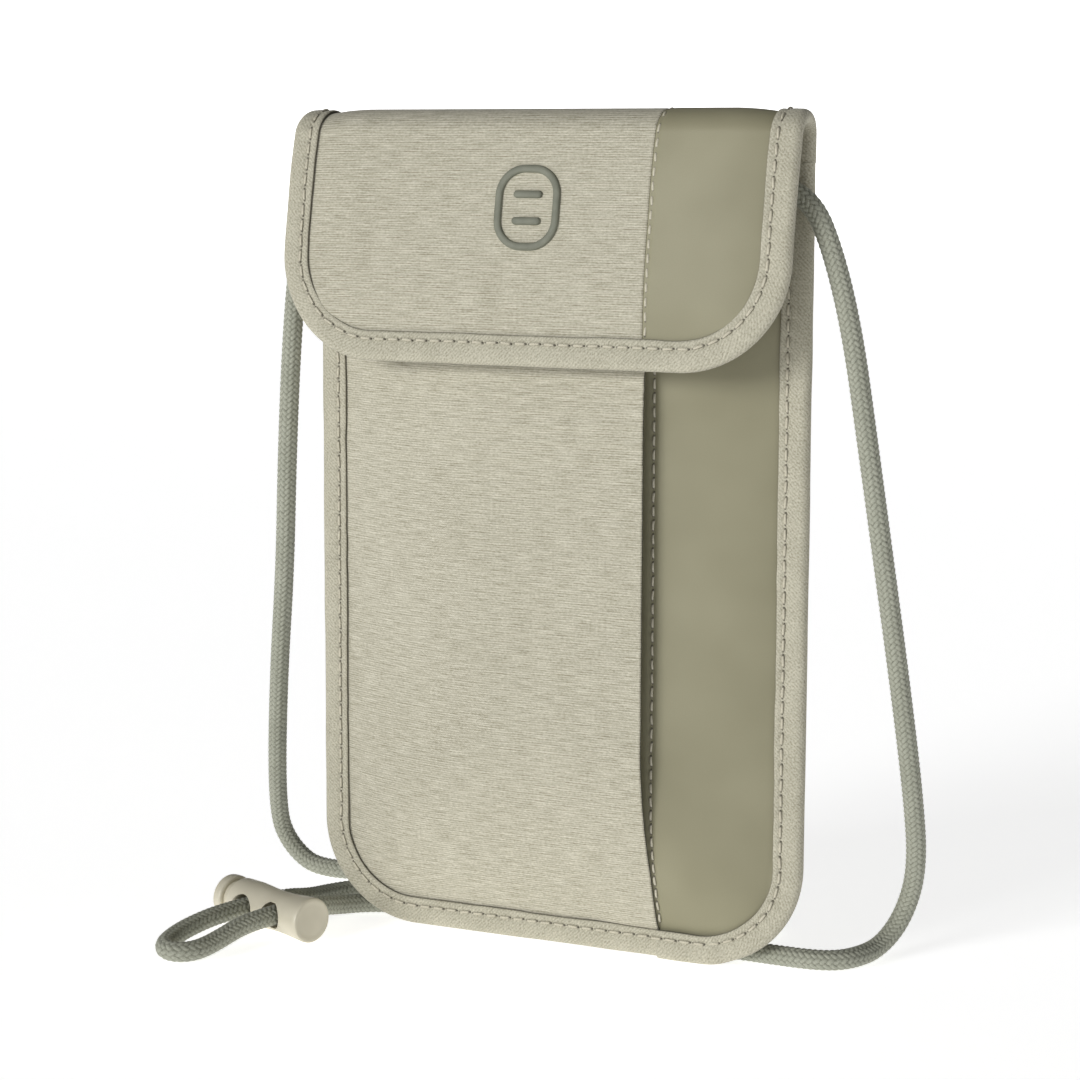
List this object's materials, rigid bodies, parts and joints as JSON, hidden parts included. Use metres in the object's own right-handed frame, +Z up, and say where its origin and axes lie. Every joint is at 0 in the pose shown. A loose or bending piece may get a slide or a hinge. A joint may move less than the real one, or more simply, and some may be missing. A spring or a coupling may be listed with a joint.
{
  "type": "neck pouch wallet",
  "caption": "Flat fabric neck pouch with a rounded fold-over flap, a side-entry front pocket, bound edges and a braided neck cord with a sprung cord lock.",
  "frame": {"origin": "middle of the pouch's width and depth, on the surface that its bottom edge stands on", "axes": "+X along the width, to the right as seen from the front; +Y to the back; +Z up from the bottom edge to the fold"},
  "size_m": [0.1895, 0.1002, 0.208],
  "materials": {
    "woven_fabric": "matte plain weave with fine ribs",
    "coated_fabric": "matte smooth coating",
    "foam": "matte",
    "lining": "matte fine weave",
    "binding_tape": "matte knitted",
    "badge_rubber": "matte",
    "closure_tape": "matte pile",
    "thread": "matte",
    "cord": "matte braid",
    "lock_plastic": "satin",
    "spring_steel": "bright"
  },
  "bodies": {
    "pouch": {"back_panel": "woven_fabric", "back_padding": "foam", "back_lining": "lining", "pocket_back_panel": "woven_fabric", "coated_side_panel": "coated_fabric", "front_padding": "foam", "front_lining": "lining", "front_pocket_panel": "woven_fabric", "front_loop_patch": "closure_tape", "body_binding": "binding_tape", "body_binding_stitching": "thread", "pocket_seam_stitching": "thread", "cord_anchor_left": "binding_tape", "cord_anchor_right": "binding_tape", "neck_cord_right": "cord", "neck_cord_left": "cord", "neck_cord_hank": "cord", "hank_tie": "binding_tape"},
    "flap": {"flap_woven_panel": "woven_fabric", "flap_coated_strip": "coated_fabric", "flap_padding": "foam", "flap_lining": "lining", "flap_binding": "binding_tape", "flap_badge": "badge_rubber", "flap_hook_patch": "closure_tape", "flap_binding_stitching": "thread", "flap_seam_stitching": "thread"},
    "cord_lock": {"cord_lock_barrel": "lock_plastic", "cord_lock_spring": "spring_steel"},
    "lock_plunger": {"cord_lock_plunger": "lock_plastic"}
  },
  "joints": [
    {"name": "flap_fold", "type": "hinge", "parent": "pouch", "child": "flap", "pos_m": [0, 0.004, 0.20175], "axis": [-1, 0, 0], "range_deg": [0, 170]},
    {"name": "lock_slide", "type": "slide", "parent": "pouch", "child": "cord_lock", "axis": [0.342, 0.9397, 0], "range_m": [-0.006, 0.003]},
    {"name": "plunger_press", "type": "slide", "parent": "cord_lock", "child": "lock_plunger", "axis": [0.9397, -0.342, 0], "range_m": [0, 0.002], "stiffness_N_per_m": 1000, "springref_m": -0.001, "deforming": ["cord_lock_spring"]}
  ]
}
